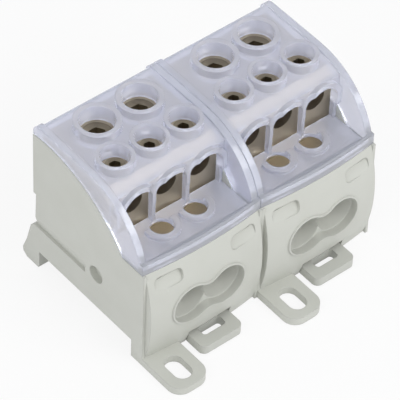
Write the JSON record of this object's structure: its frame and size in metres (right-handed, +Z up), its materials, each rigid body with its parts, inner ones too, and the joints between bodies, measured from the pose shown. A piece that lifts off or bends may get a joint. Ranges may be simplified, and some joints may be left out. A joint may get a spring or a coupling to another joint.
{
  "type": "power distribution block",
  "caption": "Grey distribution block for two poles: clear stepped covers with hooded wire entries and screw wells, slotted tabs, rail recess with sliding release feet.",
  "frame": {"origin": "on the mounting plane, under the middle of the pair of poles", "axes": "+X across the poles, -Y the front with the hooded wire entries, +Z up from the mounting plane"},
  "size_m": [0.0714, 0.0688, 0.0498],
  "materials": {
    "housing": "light grey moulded polyamide, fine matte grain",
    "cover": "clear moulded polycarbonate, polished",
    "terminal": "tin-plated, satin",
    "foot": "light grey moulded polyamide",
    "screw": "zinc-plated"
  },
  "bodies": {
    "block": {"housing_left": "housing", "housing_right": "housing", "terminal_left": "terminal", "terminal_right": "terminal"},
    "cover_left": {"cover_left": "cover"},
    "foot_left": {"rail_foot_left": "foot"},
    "cover_right": {"cover_right": "cover"},
    "foot_right": {"rail_foot_right": "foot"},
    "feed_screw_1": {"feed_screw_1": "screw"},
    "feed_screw_2": {"feed_screw_2": "screw"},
    "feed_screw_3": {"feed_screw_3": "screw"},
    "feed_screw_4": {"feed_screw_4": "screw"},
    "branch_screw_1": {"branch_screw_1": "screw"},
    "branch_screw_2": {"branch_screw_2": "screw"},
    "branch_screw_3": {"branch_screw_3": "screw"},
    "branch_screw_4": {"branch_screw_4": "screw"},
    "branch_screw_5": {"branch_screw_5": "screw"},
    "branch_screw_6": {"branch_screw_6": "screw"},
    "tap_screw_1": {"tap_screw_1": "screw"},
    "tap_screw_2": {"tap_screw_2": "screw"},
    "tap_screw_3": {"tap_screw_3": "screw"},
    "tap_screw_4": {"tap_screw_4": "screw"}
  },
  "joints": [
    {"name": "cover_left_lift", "type": "slide", "parent": "block", "child": "cover_left", "axis": [0, 0, 1], "range_m": [0, 0.03]},
    {"name": "foot_left_release", "type": "slide", "parent": "block", "child": "foot_left", "axis": [0, -1, 0], "range_m": [0, 0.0024]},
    {"name": "cover_right_lift", "type": "slide", "parent": "block", "child": "cover_right", "axis": [0, 0, 1], "range_m": [0, 0.03]},
    {"name": "foot_right_release", "type": "slide", "parent": "block", "child": "foot_right", "axis": [0, -1, 0], "range_m": [0, 0.0024]},
    {"name": "feed_screw_1_turn", "type": "hinge", "parent": "block", "child": "feed_screw_1", "pos_m": [-0.0242, 0.0113, 0.041], "axis": [0, 0, 1], "continuous": true},
    {"name": "feed_screw_2_turn", "type": "hinge", "parent": "block", "child": "feed_screw_2", "pos_m": [-0.0115, 0.0113, 0.041], "axis": [0, 0, 1], "continuous": true},
    {"name": "feed_screw_3_turn", "type": "hinge", "parent": "block", "child": "feed_screw_3", "pos_m": [0.0115, 0.0113, 0.041], "axis": [0, 0, 1], "continuous": true},
    {"name": "feed_screw_4_turn", "type": "hinge", "parent": "block", "child": "feed_screw_4", "pos_m": [0.0242, 0.0113, 0.041], "axis": [0, 0, 1], "continuous": true},
    {"name": "branch_screw_1_turn", "type": "hinge", "parent": "block", "child": "branch_screw_1", "pos_m": [-0.02805, -0.0003, 0.044], "axis": [0, 0, 1], "continuous": true},
    {"name": "branch_screw_2_turn", "type": "hinge", "parent": "block", "child": "branch_screw_2", "pos_m": [-0.01785, -0.0003, 0.044], "axis": [0, 0, 1], "continuous": true},
    {"name": "branch_screw_3_turn", "type": "hinge", "parent": "block", "child": "branch_screw_3", "pos_m": [-0.00765, -0.0003, 0.044], "axis": [0, 0, 1], "continuous": true},
    {"name": "branch_screw_4_turn", "type": "hinge", "parent": "block", "child": "branch_screw_4", "pos_m": [0.00765, -0.0003, 0.044], "axis": [0, 0, 1], "continuous": true},
    {"name": "branch_screw_5_turn", "type": "hinge", "parent": "block", "child": "branch_screw_5", "pos_m": [0.01785, -0.0003, 0.044], "axis": [0, 0, 1], "continuous": true},
    {"name": "branch_screw_6_turn", "type": "hinge", "parent": "block", "child": "branch_screw_6", "pos_m": [0.02805, -0.0003, 0.044], "axis": [0, 0, 1], "continuous": true},
    {"name": "tap_screw_1_turn", "type": "hinge", "parent": "block", "child": "tap_screw_1", "pos_m": [-0.02295, -0.0117, 0.023], "axis": [0, 0, 1], "continuous": true},
    {"name": "tap_screw_2_turn", "type": "hinge", "parent": "block", "child": "tap_screw_2", "pos_m": [-0.01275, -0.0117, 0.023], "axis": [0, 0, 1], "continuous": true},
    {"name": "tap_screw_3_turn", "type": "hinge", "parent": "block", "child": "tap_screw_3", "pos_m": [0.01275, -0.0117, 0.023], "axis": [0, 0, 1], "continuous": true},
    {"name": "tap_screw_4_turn", "type": "hinge", "parent": "block", "child": "tap_screw_4", "pos_m": [0.02295, -0.0117, 0.023], "axis": [0, 0, 1], "continuous": true}
  ]
}
